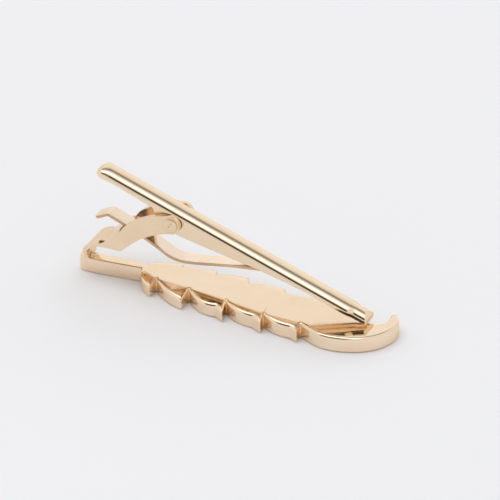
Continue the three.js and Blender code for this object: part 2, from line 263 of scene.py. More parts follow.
@dataclass(frozen=True)
class PlatedGold:
    """A polished or satin pale gold plating.

    Attributes:
        name: Name of the material.
        colour: Colour of the plating.
        warm: Deeper colour where the plating is thicker.
        roughness: Roughness of the cleanest polish.
        haze: Roughness added by handling marks.
        grain: Direction of the polishing marks.
        mark: Height of the polishing marks in metres.
        ripple: Height of the slow waviness in metres.
        coat: Weight of the clear lacquer.
        coat_roughness: Roughness of the lacquer.
        cloud_scale: Clouds of colour per metre.
        mark_scale: Polishing marks per metre.
        ripple_scale: Waves of the slow waviness per metre.
    """

    name: str
    colour: tuple[float, float, float]
    warm: tuple[float, float, float]
    roughness: float
    haze: float
    grain: Grain
    mark: float
    ripple: float
    coat: float = 0.12
    coat_roughness: float = 0.04
    cloud_scale: float = 170.0
    mark_scale: float = 2600.0
    ripple_scale: float = 420.0

    def material(self) -> bpy.types.Material:
        """Builds the node material: clouds tint it and haze it, marks and ripples bend its light.

        Returns:
            The new material.
        """
        made = bpy.data.materials.new(self.name)
        made.use_nodes = True
        nodes, links = made.node_tree.nodes, made.node_tree.links
        shader = nodes["Principled BSDF"]
        shader.inputs["Metallic"].default_value = 1.0
        shader.inputs["Specular Tint"].default_value = (*(0.5 + 0.5 * c for c in self.colour), 1.0)
        shader.inputs["Coat Weight"].default_value = self.coat
        shader.inputs["Coat Roughness"].default_value = self.coat_roughness
        place = nodes.new("ShaderNodeTexCoord")

        def noise(scale: float, stretch: tuple[float, float, float], detail: float) -> bpy.types.Node:
            """Lays noise on object coordinates.

            Args:
                scale: Cells per metre.
                stretch: Factor on the coordinate along X, Y and Z.
                detail: Number of finer layers.

            Returns:
                The noise texture's node.
            """
            turn = nodes.new("ShaderNodeMapping")
            turn.inputs["Scale"].default_value = stretch
            links.new(place.outputs["Object"], turn.inputs["Vector"])
            texture = nodes.new("ShaderNodeTexNoise")
            texture.inputs["Scale"].default_value = scale
            texture.inputs["Detail"].default_value = detail
            links.new(turn.outputs["Vector"], texture.inputs["Vector"])
            return texture

        def spread(source: bpy.types.Node, low: float, high: float) -> bpy.types.Node:
            """Maps the middle of a noise's range to low..high.

            Args:
                source: The noise texture's node.
                low: Value at the lower end.
                high: Value at the upper end.

            Returns:
                The mapping's node.
            """
            span = nodes.new("ShaderNodeMapRange")
            span.inputs["From Min"].default_value = 0.3
            span.inputs["From Max"].default_value = 0.7
            span.inputs["To Min"].default_value = low
            span.inputs["To Max"].default_value = high
            links.new(source.outputs["Fac"], span.inputs["Value"])
            return span

        even = Grain.EVEN.value
        cloud = noise(self.cloud_scale, even, 3.0)
        marks = noise(self.mark_scale, self.grain.value, 4.0)
        blend = nodes.new("ShaderNodeMix")
        blend.data_type = "RGBA"
        blend.inputs["A"].default_value = (*self.colour, 1.0)
        blend.inputs["B"].default_value = (*self.warm, 1.0)
        links.new(spread(cloud, 0.0, 1.0).outputs["Result"], blend.inputs["Factor"])
        links.new(blend.outputs["Result"], shader.inputs["Base Color"])

        clean = spread(cloud, self.roughness, self.roughness + self.haze)
        fine = spread(marks, -0.3 * self.haze, 0.5 * self.haze)
        total = nodes.new("ShaderNodeMath")
        total.operation = "ADD"
        total.use_clamp = True
        links.new(clean.outputs["Result"], total.inputs[0])
        links.new(fine.outputs["Result"], total.inputs[1])
        links.new(total.outputs["Value"], shader.inputs["Roughness"])

        slow = nodes.new("ShaderNodeBump")
        slow.inputs["Distance"].default_value = self.ripple
        slow.inputs["Strength"].default_value = 1.0
        links.new(noise(self.ripple_scale, even, 1.0).outputs["Fac"], slow.inputs["Height"])
        sharp = nodes.new("ShaderNodeBump")
        sharp.inputs["Distance"].default_value = self.mark
        sharp.inputs["Strength"].default_value = 1.0
        links.new(marks.outputs["Fac"], sharp.inputs["Height"])
        links.new(slow.outputs["Normal"], sharp.inputs["Normal"])
        links.new(sharp.outputs["Normal"], shader.inputs["Normal"])
        return made


@dataclass(frozen=True)
class PaleFloor:
    """Matt pale floor.

    Attributes:
        colour: Colour of the floor.
        roughness: Roughness of the floor.
    """

    colour: tuple[float, float, float] = (0.90, 0.90, 0.92)
    roughness: float = 0.7

    def material(self) -> bpy.types.Material:
        """Builds the floor's material.

        Returns:
            The new material.
        """
        made = bpy.data.materials.new("pale_floor")
        made.use_nodes = True
        shader = made.node_tree.nodes["Principled BSDF"]
        shader.inputs["Base Color"].default_value = (*self.colour, 1.0)
        shader.inputs["Roughness"].default_value = self.roughness
        return made


PLATE_GOLD = PlatedGold(
    "cast_plate_gold", (0.93, 0.76, 0.575), (0.91, 0.72, 0.52), 0.06, 0.05, Grain.EVEN, 2e-7, 9e-7
)
BRACKET_GOLD = PlatedGold(
    "stamped_bracket_gold", (0.91, 0.725, 0.525), (0.87, 0.67, 0.46), 0.12, 0.07, Grain.ACROSS, 5e-7, 1.2e-6
)
ARM_GOLD = PlatedGold(
    "pressed_arm_gold", (0.92, 0.745, 0.54), (0.90, 0.71, 0.50), 0.08, 0.05, Grain.ALONG, 3e-7, 8e-7
)
SPRING_GOLD = PlatedGold(
    "spring_strip_gold", (0.97, 0.82, 0.67), (0.94, 0.76, 0.59), 0.14, 0.07, Grain.ALONG, 5e-7, 8e-7
)
# Cut sides of the spring: the darker, deeper gold is a painted reflection of the gold parts beside them;
# the rougher polish and marks are the sheared edge's own.
SPRING_SIDE_PAINTED_REFLECTION = PlatedGold(
    "spring_side_painted_reflection_gold", (0.74, 0.50, 0.31), (0.60, 0.38, 0.22), 0.22, 0.10, Grain.ACROSS, 1.5e-6, 1e-6
)
BRAZE_GOLD = PlatedGold(
    "braze_gold", (0.98, 0.84, 0.60), (0.95, 0.74, 0.46), 0.14, 0.08, Grain.EVEN, 1e-6, 3e-6
)


def dress(piece: bpy.types.Object, finish: PlatedGold) -> None:
    """Gives a piece its material."""
    piece.data.materials.append(finish.material())


def report(piece: bpy.types.Object, what: str) -> None:
    """Logs a finished piece."""
    log.info("%s: %s, %d faces before its modifiers", piece.name, what, len(piece.data.polygons))


# ---- the feather ---------------------------------------------------------------------


@dataclass
class FeatherPlate:
    """Cast feather with a flat polished back, sloping lobes, round rims and an engraved front.

    Attributes:
        rim: Radius of the rim round the back.
        quill_rim: Radius of the rim along the quill.
        foot: Radius of the rim round the front.
        slope: Fall of a lobe's back per millimetre outwards.
        spine: Line of the rachis from the quill to the hooked tip, X from the quill's end.
        border: Width of the plain border round the front.
        relief: Depth of the engraved front.
        barb_pitch: Spacing of the barbs along the rachis.
        barb_depth: Depth of the grooves between barbs.
        rachis: Half-width of the rachis rib.
        lean: Forward lean of the surface's rungs per millimetre from the rachis.
        hook_x: Where along X the hook begins.
        barb_slant: How far a barb runs forward per millimetre from the rachis.
        barb_power: Sharpness of the ridges between barbs.
        swell: How much deeper the engraving is beside the rachis.
        vane_half: Half-width over which that deepening fades.
        vane_start: Where along the rachis the engraving fades in.
        vane_end: Where along the rachis it fades out.
        border_fade: Width over which it fades towards the border.
        quill_end: Where along the rachis the rim grows from the quill's to the lobes'.
        lobes: Stretch of the rachis that has lobes with notches beside it.
        lobe_start: Where along the rachis the slope fades in.
        lobe_end: Where the slope fades out, about the last notch.
        slope_ease: Length over which the slope leaves the flat.
        corner_turn: Turn in degrees beyond which an outline's corner stays one.
        notch_turn: Turn in degrees beyond which a hollow corner is a notch.
        fairing: Spread of the smoothing along the outline.
        hook_way: How much further along X counts when the hook's end is looked for.
        steady: Least growth of a station's place per millimetre of edge.
        sharp: Change of direction between outline points beyond which all become stations.
        closest: Least gap between stations, as a share of the rachis.
        rim_share: Most of a rung that the rim's points may take up.
        edge_step: Spacing of the surface's stations along the edges.
        corner_step: Spacing of the outline's points, and of the stations where it turns sharply.
        rows: Number of points across each half of the flat.
        rim_rows: Distances from the edge of the points across a rim.
        thickness: Thickness of the plate, taken from the frame.
    """

    rim: float = 0.55
    quill_rim: float = 0.24
    foot: float = 0.36
    slope: float = 0.24
    spine: tuple[tuple[float, float], ...] = (
        (0.0, -0.15), (12.0, 0.35), (24.0, 0.0), (36.0, -0.8), (46.0, -1.9),
        (51.5, -2.4), (55.0, -1.2), (56.6, 1.6), (55.9, 4.9),
    )
    border: float = 0.5
    relief: float = 0.3
    barb_pitch: float = 1.25
    barb_depth: float = 0.22
    rachis: float = 0.55
    lean: float = 0.3
    hook_x: float = 53.0
    barb_slant: float = 1.15
    barb_power: float = 0.7
    swell: float = 0.35
    vane_half: float = 5.0
    vane_start: tuple[float, float] = (11.0, 13.5)
    vane_end: tuple[float, float] = (62.0, 65.0)
    border_fade: float = 0.5
    quill_end: tuple[float, float] = (10.5, 13.0)
    lobes: tuple[float, float] = (10.0, 52.0)
    lobe_start: tuple[float, float] = (11.5, 13.5)
    lobe_end: tuple[float, float] = (-0.4, 0.6)
    slope_ease: float = 0.15
    corner_turn: float = 24.0
    notch_turn: float = 50.0
    fairing: float = 0.09
    hook_way: float = 0.25
    steady: float = 0.02
    sharp: float = 0.1
    closest: float = 2e-5
    rim_share: float = 0.7
    edge_step: float = 0.16
    corner_step: float = 0.05
    rows: int = 12
    rim_rows: tuple[float, ...] = (0, 0.02, 0.06, 0.12, 0.2, 0.3, 0.44, 0.6)
    thickness: float = field(init=False)

    def __post_init__(self) -> None:
        """Takes the thickness from the frame."""
        low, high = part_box("feather_plate")
        self.thickness = (high.z - low.z) / MM

    def cad_outline(self) -> np.ndarray:
        """Puts the edges round the CAD plate's flat front in order.

        An edge that only one flat triangle uses is on the outline, and each such edge leads from
        one corner to the next. How far a corner is from the end is found by doubling: every
        corner's steps grow by those of the corner it has reached, until all have reached the end.
        A ring of its own round a sliver never reaches it and is left out.

        Returns:
            The outline's corners in plan, X from the quill's end, from there along the near side.
        """
        mesh = frame["nodes"]["feather_plate"].data
        mesh.calc_loop_triangles()
        places = np.empty(len(mesh.vertices) * 3)
        mesh.vertices.foreach_get("co", places)
        tris = np.empty(len(mesh.loop_triangles) * 3, np.int32)
        mesh.loop_triangles.foreach_get("vertices", tris)
        places = places.reshape(-1, 3) / MM
        _, first, merged = np.unique(np.round(places, 4), axis=0, return_index=True, return_inverse=True)
        corners = places[first]
        tris = merged.reshape(-1)[tris].reshape(-1, 3)
        a, b, c = (corners[tris[:, k]] for k in range(3))
        normal = np.cross(b - a, c - a)
        flat = tris[normal[:, 2] < -0.99 * np.linalg.norm(normal, axis=1)]
        ends = np.concatenate([flat[:, [k, (k + 1) % 3]] for k in range(3)])
        rim = ends[~np.isin(ends @ [len(corners), 1], ends @ [1, len(corners)])]
        onward = np.arange(len(corners))
        onward[rim[:, 1]] = rim[:, 0]
        on_rim = rim[:, 0]
        start = on_rim[np.lexsort((corners[on_rim, 1], corners[on_rim, 0]))[0]]
        end = on_rim[onward[on_rim] == start][0]
        onward[end] = end
        steps = (onward != np.arange(len(corners))).astype(int)
        for _ in range(int(math.log2(len(corners))) + 1):
            steps, onward = steps + steps[onward], onward[onward]
        on_rim = on_rim[onward[on_rim] == end]
        order = on_rim[np.argsort(-steps[on_rim])]
        return corners[order, :2] - [QUILL_X, 0]

    def fair_outline(self, coarse: np.ndarray) -> tuple[np.ndarray, np.ndarray]:
        """Carries smooth curves between the outline's corners and rounds the corners a little.

        Args:
            coarse: The closed outline as a polygon.

        Returns:
            Closely spaced points round the outline, and the outline's hollow corners.
        """
        into = coarse - np.roll(coarse, 1, axis=0)
        out = np.roll(coarse, -1, axis=0) - coarse
        turn = np.arctan2(
            into[:, 0] * out[:, 1] - into[:, 1] * out[:, 0], (into * out).sum(axis=1)
        )
        corner = np.abs(turn) > math.radians(self.corner_turn)
        stops = np.unique(np.r_[0, np.flatnonzero(corner), len(coarse)])
        closed = np.vstack([coarse, coarse[:1]])
        spans = []
        for a, b in zip(stops[:-1], stops[1:]):
            knots = closed[a : b + 1]
            span = length_along(knots)[-1]
            count = max(3, int(span / self.corner_step) + 1)
            spans.append(smooth_path(knots, count)[:-1] if len(knots) > 2 else
                         np.linspace(knots[0], knots[1], count)[:-1])
        fine = np.vstack(spans)
        side = 8
        kernel = np.exp(-0.5 * (np.arange(-side, side + 1) * self.corner_step / self.fairing) ** 2)
        kernel /= kernel.sum()
        padded = np.vstack([fine[-side:], fine, fine[:side]])
        fine = np.stack([np.convolve(padded[:, k], kernel, "valid") for k in range(2)], axis=1)
        hollow = coarse[turn < -math.radians(self.notch_turn)]
        return fine, hollow

    def along_spine(self, points: np.ndarray) -> tuple[np.ndarray, np.ndarray]:
        """Finds where points lie along the rachis and how far to its left.

        Points short of the hook never belong to the part of the rachis that turns up into it.

        Args:
            points: Points in plan.

        Returns:
            Running length along the rachis, and signed distance from it.
        """
        spine = smooth_path(np.array(self.spine), 240)
        run = length_along(spine)
        gap = points[:, None, :] - spine[None, :, :]
        apart = (gap**2).sum(axis=2)
        behind_hook = (points[:, None, 0] < self.hook_x) & (run[None, :] > self.hook_x + 1)
        nearest = np.where(behind_hook, np.inf, apart).argmin(axis=1)
        left = side_of(spine)[nearest]
        way = np.stack([left[:, 1], -left[:, 0]], axis=1)
        offset = points - spine[nearest]
        return run[nearest] + (offset * way).sum(axis=1), (offset * left).sum(axis=1)

    def edges(self, fine: np.ndarray) -> tuple[np.ndarray, np.ndarray, np.ndarray]:
        """Splits the outline at the quill's end and the hook's end and pairs both edges with the rachis.

        A point of an edge belongs to the place of the rachis that lies a little behind it, so that
        the rungs lean forward as barbs do and never cross where a lobe's tip overhangs its notch.

        Args:
            fine: Closely spaced points round the outline, from the quill along the near side.

        Returns:
            Points of the near edge, of the rachis and of the far edge, one of each per station.
        """
        in_hook = fine[:, 0] >= self.hook_x + 1
        reach = np.where(in_hook, fine[:, 1] + self.hook_way * fine[:, 0], -np.inf)
        hook = int(np.argmax(reach))
        near, far = fine[: hook + 1], np.vstack([fine[hook:], fine[:1]])[::-1]
        spine = smooth_path(np.array(self.spine), 600)

        def stations(edge: np.ndarray) -> np.ndarray:
            """Finds each point's place along the rachis and makes it grow steadily.

            Args:
                edge: Points of one edge.

            Returns:
                The places, from 0 at the quill to 1 at the hook's end.
            """
            run, left = self.along_spine(edge)
            place = np.maximum.accumulate(run - self.lean * np.abs(left))
            place = place - place[0] + self.steady * length_along(edge)
            return place / place[-1]

        s_near, s_far = stations(near), stations(far)
        every = int(self.edge_step / self.corner_step)

        def chosen(edge: np.ndarray, place: np.ndarray) -> np.ndarray:
            """Picks every few points, and all points where the edge turns sharply.

            Args:
                edge: Points of one edge.
                place: Their places along the rachis.

            Returns:
                The picked points' places.
            """
            bend = np.linalg.norm(np.gradient(side_of(edge), axis=0), axis=1)
            pick = bend > self.sharp
            pick[::every] = True
            return place[pick]

        both = np.unique(np.r_[0, chosen(near, s_near), chosen(far, s_far), 1])
        both = both[np.r_[True, np.diff(both) > self.closest]]
        s_spine = length_along(spine) / length_along(spine)[-1]
        return tuple(
            np.stack([np.interp(both, s, e[:, k]) for k in range(2)], axis=1)
            for s, e in ((s_near, near), (s_spine, spine), (s_far, far))
        )

    def half_rungs(self, edge: np.ndarray, rachis: np.ndarray) -> np.ndarray:
        """Points from an edge to the rachis, crowded towards the rim.

        Args:
            edge: Points of the edge, one per station.
            rachis: Points of the rachis, one per station.

        Returns:
            One row of points per station, from the edge to the rachis.
        """
        close = np.array(self.rim_rows)
        length = np.linalg.norm(rachis - edge, axis=1)[:, None]
        rim = close[None, :] * np.minimum(1, length * self.rim_share / close[-1])
        rest = rim[:, -1:] + (length - rim[:, -1:]) * np.linspace(0, 1, self.rows + 1)[None, 1:]
        share = np.hstack([rim, rest]) / np.maximum(length, 1e-9)
        return edge[:, None, :] + (rachis - edge)[:, None, :] * share[..., None]

    def rim_distance(self, points: np.ndarray, fine: np.ndarray) -> np.ndarray:
        """Measures how far points are from the outline's straight pieces, a few at a time.

        Args:
            points: Points in plan.
            fine: Closely spaced points round the outline.

        Returns:
            The distance of each point.
        """
        batch = 2000
        ab = np.roll(fine, -1, axis=0) - fine
        size = (ab**2).sum(axis=1)
        best = np.empty(len(points))
        for low in range(0, len(points), batch):
            part = points[low : low + batch]
            gap = part[:, None, :] - fine[None]
            t = np.clip((gap * ab).sum(axis=2) / size, 0, 1)
            apart = ((gap - t[..., None] * ab) ** 2).sum(axis=2).min(axis=1)
            best[low : low + batch] = np.sqrt(apart)
        return best

    def back_height(self, plan: np.ndarray, edge: np.ndarray, hollow: np.ndarray) -> np.ndarray:
        """Height of the back: flat, falling outwards beyond the lobes' roots, with a round rim.

        The fall is a hyperbola that leaves the flat softly, and the rim is a quarter circle.

        Args:
            plan: Points in plan.
            edge: Their distance from the outline.
            hollow: The outline's notches, where the lobes' roots are.

        Returns:
            The height of each point.
        """
        run, left = self.along_spine(plan)
        root_run, root_left = self.along_spine(hollow)
        fall = np.zeros(len(plan))
        for sign in (-1, 1):
            mine = root_left * sign > 0
            order = np.argsort(root_run[mine])
            at, out = root_run[mine][order], (root_left * sign)[mine][order]
            keep = (at > self.lobes[0]) & (at < self.lobes[1])
            root = np.interp(run, at[keep], out[keep])
            beyond = np.clip(left * sign - root, 0, None)
            beyond = np.sqrt(beyond**2 + self.slope_ease**2) - self.slope_ease
            last = at[keep][-1]
            zone = 1 - ease(run, last + self.lobe_end[0], last + self.lobe_end[1])
            zone = ease(run, *self.lobe_start) * zone
            fall += self.slope * beyond * zone * (left * sign > 0)
        rim = self.quill_rim + (self.rim - self.quill_rim) * ease(run, *self.quill_end)
        inset = np.clip(rim - edge, 0, rim)
        rounding = rim - np.sqrt(rim**2 - inset**2)
        return self.thickness - fall - rounding

    def front_height(self, plan: np.ndarray, edge: np.ndarray) -> np.ndarray:
        """Height of the front: plain border and rachis on the floor, barbs engraved between them.

        The grooves between barbs follow the size of a sine wave, raised to a power, that leaves
        the rachis at a slant. The rachis is a half circle in section. Both fade towards the border.

        Args:
            plan: Points in plan.
            edge: Their distance from the outline.

        Returns:
            The height of each point.
        """
        run, left = self.along_spine(plan)
        vane = ease(edge, self.border, self.border + self.border_fade) * ease(run, *self.vane_start)
        vane = vane * (1 - ease(run, *self.vane_end))
        phase = (run - self.barb_slant * np.abs(left)) / self.barb_pitch
        groove = np.abs(np.sin(np.pi * phase)) ** self.barb_power
        deeper = self.swell * (1 - np.clip(np.abs(left) / self.vane_half, 0, 1))
        body = self.relief + self.barb_depth * (1 - groove) + self.swell * self.relief * deeper
        share = np.clip(np.abs(left) / self.rachis, 0, 1)
        rib = np.sqrt(1 - share**2)
        inset = np.clip(self.foot - edge, 0, self.foot)
        rounding = self.foot - np.sqrt(self.foot**2 - inset**2)
        return rounding + vane * body * (1 - rib)

    def build(self) -> bpy.types.Object:
        """Joins back, walls and front into one closed surface and puts it in the frame.

        Returns:
            The finished feather.
        """
        fine, hollow = self.fair_outline(self.cad_outline())
        near, rachis, far = self.edges(fine)
        near_half, far_half = self.half_rungs(near, rachis), self.half_rungs(far, rachis)
        plan = np.concatenate([near_half, far_half[:, -2::-1]], axis=1)
        rows, cols = plan.shape[:2]
        flat = plan.reshape(-1, 2)
        edge = self.rim_distance(flat, fine)
        back = self.back_height(flat, edge, hollow).reshape(rows, cols, 1)
        front = self.front_height(flat, edge).reshape(rows, cols, 1)
        ring = np.concatenate(
            [np.concatenate([plan, back], 2), np.concatenate([plan, front], 2)[:, ::-1]], axis=1
        )
        ring[..., 0] += QUILL_X
        piece = make_piece("feather", ring, grid_quads(rows, 2 * cols, ring=True))
        dress(piece, PLATE_GOLD)
        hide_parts("feather_plate")
        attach(piece, BASE)
        report(piece, "cast feather plate")
        return piece


# ---- the hinge bracket ---------------------------------------------------------------


@dataclass
class HingeBracket:
    """One stamped strip: flared neck, ramp and two ears folded down from the ramp's sides.

    Attributes:
        sheet: Thickness of the strip.
        outer_y: Distance of the ears' outer faces from the middle plane.
        fold: Outer radius of the fold between ramp and ear.
        back: Outer face of neck and ramp in side view, from the plate to the ramp's free edge.
        belly: Lower edge of the ear in side view.
        brow: Upper edge of the ear in side view, from the ramp's free edge.
        eye: Radius of the ears' round ends.
        foot_half: Half-width of the neck at the plate.
        flare_half: Half-width of the neck where it meets the ramp.
        relief_half: Half-width between the two relief notches.
        relief: Where along X the relief notches start and end.
        heel: Lower edge of the ear where it runs into the neck.
        flare: Heights between which the neck grows wider.
        blend: Length along X over which the relief notches start and end.
        under_edge: X on the belly that lies under the ramp's free edge.
        lead: Power that sets the ear's rows closer beside the ramp's free edge.
        settle: Length along the brow over which it eases off the fold's edge.
        soft: Radius of the sheet's cut edges.
        ramp_rows: Number of rows along neck and ramp.
        ear_rows: Number of rows of an ear beyond the ramp.
        ear_cols: Number of points across an ear.
        fold_cols: Number of points across a fold, without its ends.
        web_cols: Number of points across neck and ramp.
    """

    sheet: float = 0.8
    outer_y: float = 2.95
    fold: float = 0.36
    back: tuple[tuple[float, float], ...] = (
        (1.25, 2.82), (1.22, 3.7), (1.5, 4.9), (2.2, 6.0), (3.2, 6.82), (4.2, 7.25),
        (5.05, 7.62), (5.9, 8.3), (7.0, 9.3), (8.43, 10.59),
    )
    belly: tuple[tuple[float, float], ...] = (
        (8.84, 6.58), (10.13, 7.85), (11.2, 8.84), (12.75, 10.07), (14.7, 11.15),
        (16.5, 11.93), (18.12, 12.34),
    )
    brow: tuple[tuple[float, float], ...] = (
        (8.43, 10.59), (10.2, 12.2), (12.75, 13.95), (15.1, 15.0), (16.7, 15.45), (18.12, 15.66),
    )
    eye: float = 1.66
    foot_half: float = 1.6
    flare_half: float = 2.92
    relief_half: float = 2.25
    relief: tuple[float, float] = (4.7, 5.75)
    heel: tuple[tuple[float, float], ...] = ((3.9, 6.42), (5.65, 6.62))
    flare: tuple[float, float] = (3.0, 6.2)
    blend: float = 0.1
    under_edge: float = 10.45
    lead: float = 0.85
    settle: float = 2.2
    soft: float = 0.11
    ramp_rows: int = 110
    ear_rows: int = 46
    ear_cols: int = 11
    fold_cols: int = 5
    web_cols: int = 17

    def eye_arc(self, start: float, end: float, count: int) -> np.ndarray:
        """Lays points on the eye's rim, a circle about the pivot.

        Args:
            start: Angle of the first point.
            end: Angle of the last point.
            count: Number of points.

        Returns:
            The points in side view, X from the quill's end.
        """
        angle = np.linspace(start, end, count)
        centre = np.array([PIVOT_X - QUILL_X, PIVOT_Z])
        return centre + self.eye * np.stack([np.cos(angle), np.sin(angle)], axis=1)

    def half_widths(self, line: np.ndarray) -> tuple[np.ndarray, np.ndarray]:
        """Widens the strip from foot to flare, narrows it at the relief and widens it for the ramp.

        Args:
            line: The strip's line in side view.

        Returns:
            Half-widths of the outer and of the inner face, one per point of the line.
        """
        start, end = self.relief
        flare = self.foot_half + (self.flare_half - self.foot_half) * ease(line[:, 1], *self.flare)
        notch = ease(line[:, 0], start, start + self.blend)
        ramp = ease(line[:, 0], end - self.blend, end)
        narrow = flare + (self.relief_half - flare) * notch
        outer = narrow + (self.outer_y - self.fold - narrow) * ramp
        inner = narrow + (self.outer_y - self.sheet - narrow) * ramp
        return outer, inner

    def ear_lines(self, top_ramp: np.ndarray) -> np.ndarray:
        """Side-view points of an ear: rows from quill to eye, columns from lower to upper edge.

        Both edges are smooth curves that meet the eye's circle, and straight lines join them.

        Args:
            top_ramp: Upper edge under the ramp's fold, one point per row of the ramp.

        Returns:
            The points, one row per row of the strip from the heel on.
        """
        below = np.vstack([
            np.linspace(self.heel[0], self.heel[1], 8)[:-1],
            np.linspace(self.heel[1], self.belly[0], 12)[:-1],
            smooth_path(np.array(self.belly), 60), self.eye_arc(-math.pi / 2, 0, 24)[1:],
        ])
        run = length_along(below)
        split = np.interp(self.under_edge, below[:, 0], run)
        share = np.linspace(0, 1, self.ear_rows + 1)[1:] ** self.lead
        low = np.vstack([
            resample(below, np.linspace(0, split, len(top_ramp))),
            resample(below, split + (run[-1] - split) * share),
        ])
        eye_top = self.eye_arc(math.pi / 2, 0, 24)[1:]
        brow = np.vstack([smooth_path(np.array(self.brow), 60), eye_top])
        reach = length_along(brow)[-1] * share
        fade = np.clip(1 - reach / self.settle, 0, 1)[:, None] ** 2
        top = np.vstack([top_ramp, resample(brow, reach) + (top_ramp[-1] - brow[0]) * fade])
        across = np.linspace(0, 1, self.ear_cols)[None, :, None]
        return low[:, None, :] + (top - low)[:, None, :] * across

    def skin(
        self, line: np.ndarray, half: np.ndarray, ear_y: float, fold: float
    ) -> np.ndarray:
        """One skin of the strip as a grid of points, rows along the strip and columns across.

        Columns run: near ear, near fold, ramp, far fold, far ear. A fold is a quarter circle.

        Args:
            line: The skin's line in side view along neck and ramp.
            half: Half-width along that line.
            ear_y: Distance of the ear's face from the middle plane.
            fold: Radius of the fold, and so how far below the line the ear's upper edge lies.

        Returns:
            The grid, X from the quill's end.
        """
        normal = side_of(line)
        first, rows = int(np.argmax(line[:, 0] >= self.heel[0][0])), self.ear_rows
        ear = self.ear_lines(line[first:] - normal[first:] * fold)
        ear = np.vstack([np.repeat(ear[:1], first, axis=0), ear])
        pad = np.vstack([line, np.repeat(line[-1:], rows, axis=0)])
        pad_normal = np.vstack([normal, np.repeat(normal[-1:], rows, axis=0)])
        pad_half = np.r_[half, np.repeat(half[-1:], rows)]
        angle = np.linspace(0, math.pi / 2, self.fold_cols + 2)[None, 1:-1]
        sunk = fold * (1 - np.sin(angle))
        fold_xz = pad[:, None, :] - pad_normal[:, None, :] * sunk[..., None]
        fold_y = np.repeat(ear_y - fold * (1 - np.cos(angle)), len(pad), axis=0)
        web_y = pad_half[:, None] * np.linspace(-1, 1, self.web_cols)[None, :]
        web_xz = np.repeat(pad[:, None, :], self.web_cols, axis=1)

        def columns(xz: np.ndarray, y: np.ndarray) -> np.ndarray:
            """Puts side-view points and their y together as (x, y, z)."""
            return np.stack([xz[..., 0], np.broadcast_to(y, xz.shape[:2]), xz[..., 1]], axis=-1)

        return np.concatenate([
            columns(ear, -ear_y), columns(fold_xz, -fold_y), columns(web_xz, web_y),
            columns(fold_xz[:, ::-1], fold_y[:, ::-1]), columns(ear[:, ::-1], ear_y),
        ], axis=1)

    def build(self) -> bpy.types.Object:
        """Builds the strip from two skins, with neck, relief notches and free edge left open.

        The inner skin's fold has no radius, so the strip keeps its full thickness there.

        Returns:
            The finished bracket.
        """
        line = smooth_path(np.array(self.back), self.ramp_rows)
        outer_half, inner_half = self.half_widths(line)
        under = line - side_of(line) * self.sheet
        outer = self.skin(line, outer_half, self.outer_y, self.fold)
        inner = self.skin(under, inner_half, self.outer_y - self.sheet, 0.0)
        inner = self.match_ear(outer, inner)
        rows, cols = outer.shape[:2]
        row, col = np.arange(rows - 1)[:, None], np.arange(cols - 1)[None, :]
        web = self.ear_cols + self.fold_cols
        in_ear = (col < self.ear_cols - 1) | (col >= cols - self.ear_cols)
        in_web = (col >= web) & (col < web + self.web_cols - 1)
        heel = int(np.argmax(line[:, 0] >= self.heel[0][0]))
        fold = int(np.argmax(line[:, 0] >= self.relief[1]))
        keep = np.where(row < heel, in_web, np.where(row < fold, in_web | in_ear, True))
        keep = np.where(row < len(line) - 1, keep, in_ear)
        points, quads = shell(outer, inner, np.broadcast_to(keep, (rows - 1, cols - 1)))
        piece = make_piece("bracket", points + [QUILL_X, 0, 0], quads)
        soften(piece, self.soft)
        dress(piece, BRACKET_GOLD)
        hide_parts("hinge_bracket")
        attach(piece, BASE)
        report(piece, "stamped hinge bracket")
        return piece

    def match_ear(self, outer: np.ndarray, inner: np.ndarray) -> np.ndarray:
        """Gives the inner skin's ears the outer ears' side view, except along the fold.

        Args:
            outer: The outer skin.
            inner: The inner skin.

        Returns:
            A copy of the inner skin with its ears matched.
        """
        matched, ear = inner.copy(), self.ear_cols - 1
        matched[:, :ear, [0, 2]] = outer[:, :ear, [0, 2]]
        matched[:, -ear:, [0, 2]] = outer[:, -ear:, [0, 2]]
        return matched


